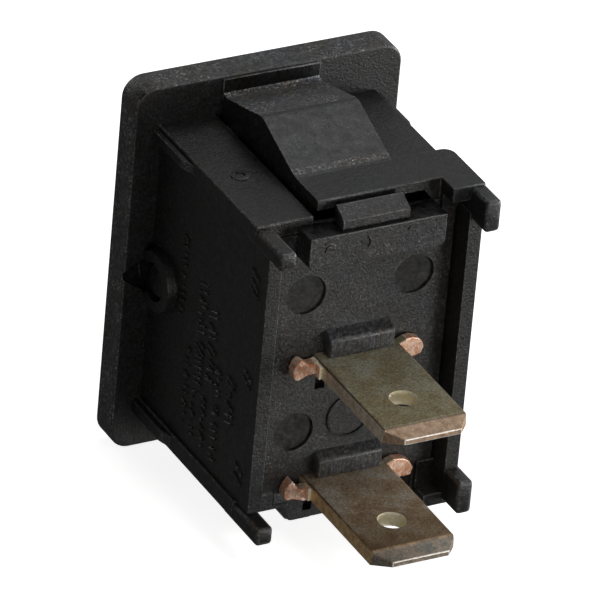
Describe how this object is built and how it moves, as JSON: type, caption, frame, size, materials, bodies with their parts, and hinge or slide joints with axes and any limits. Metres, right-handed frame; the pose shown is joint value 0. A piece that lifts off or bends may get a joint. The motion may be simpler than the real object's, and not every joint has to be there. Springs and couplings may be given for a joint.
{
  "type": "snap-in rocker switch with blade terminals",
  "caption": "Small black panel rocker switch with a snap-in body and flat blade terminals with holes and pinched roots.",
  "frame": {"origin": "centre of the panel cut-out, in the plane where the bezel's seat meets the panel's front", "axes": "+Y backwards through the panel to the blades, +Z along the bezel's long side, +X across it"},
  "size_m": [0.015, 0.0232, 0.021],
  "materials": {
    "housing_nylon": "fine moulded grain, black",
    "plate_nylon": "fine moulded grain, black",
    "rocker_nylon": "smooth satin, black",
    "plunger_nylon": "smooth, black",
    "spring_steel": "drawn wire",
    "blade_brass": "tarnished, speckled plating",
    "arm_copper": "bright rolled strip",
    "contact_silver": "polished silver alloy"
  },
  "bodies": {
    "body": {"housing": "housing_nylon", "base_plate": "plate_nylon", "terminal_common": "blade_brass", "terminal_load": "blade_brass", "fixed_contact": "contact_silver"},
    "rocker": {"rocker": "rocker_nylon"},
    "plunger": {"plunger": "plunger_nylon", "spring": "spring_steel"},
    "arm": {"contact_arm": "arm_copper", "moving_contact": "contact_silver"}
  },
  "joints": [
    {"name": "rocker_tilt", "type": "hinge", "parent": "body", "child": "rocker", "pos_m": [0, 0.00125, 0], "axis": [-1, 0, 0], "range_deg": [0, 20]},
    {"name": "arm_seesaw", "type": "hinge", "parent": "body", "child": "arm", "pos_m": [0, 0.00742, -0.00013], "axis": [1, 0, 0], "range_deg": [0, 14]},
    {"name": "plunger_slide", "type": "slide", "parent": "rocker", "child": "plunger", "axis": [0, -0.9848, -0.1736], "range_m": [0, 0.0006], "stiffness_N_per_m": 300, "deforming": ["spring"]}
  ],
  "couplings": [
    {"joint": "arm_seesaw", "follows": "rocker_tilt", "ratio": 0.7}
  ]
}
